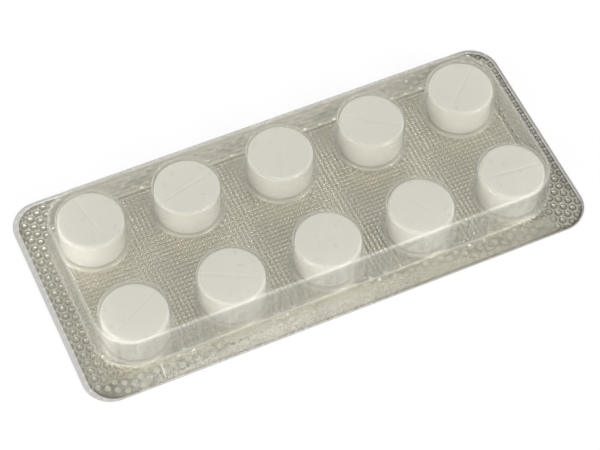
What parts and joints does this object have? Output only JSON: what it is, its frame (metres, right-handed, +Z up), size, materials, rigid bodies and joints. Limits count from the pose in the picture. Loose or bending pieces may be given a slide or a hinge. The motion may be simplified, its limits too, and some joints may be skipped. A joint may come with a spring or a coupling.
{
  "type": "pill blister pack",
  "caption": "Push-through blister pack: thick round white tablets in clear pockets, under a clear tub-shaped cover, sealed to a textured foil.",
  "frame": {"origin": "middle of the pack's outline, on the surface that it lies on", "axes": "+X along the pack's length, +Y across the two rows of tablets, +Z up from the foil to the cover"},
  "size_m": [0.0822, 0.037, 0.0071],
  "materials": {
    "foil": "hard foil, embossed with a fine square grid and, on the flange, with small round domes",
    "pocket_film": "clear formed film, glossy",
    "cover_film": "clear formed film, glossy, slightly hazy",
    "tablet": "pressed powder, smooth and matt, warm white"
  },
  "bodies": {
    "root": {"lidding_foil": "foil", "blister_film": "pocket_film", "cover_film": "cover_film", "tablet_01": "tablet", "tablet_02": "tablet", "tablet_03": "tablet", "tablet_04": "tablet", "tablet_05": "tablet", "tablet_06": "tablet", "tablet_07": "tablet", "tablet_08": "tablet", "tablet_09": "tablet", "tablet_10": "tablet"}
  },
  "joints": []
}
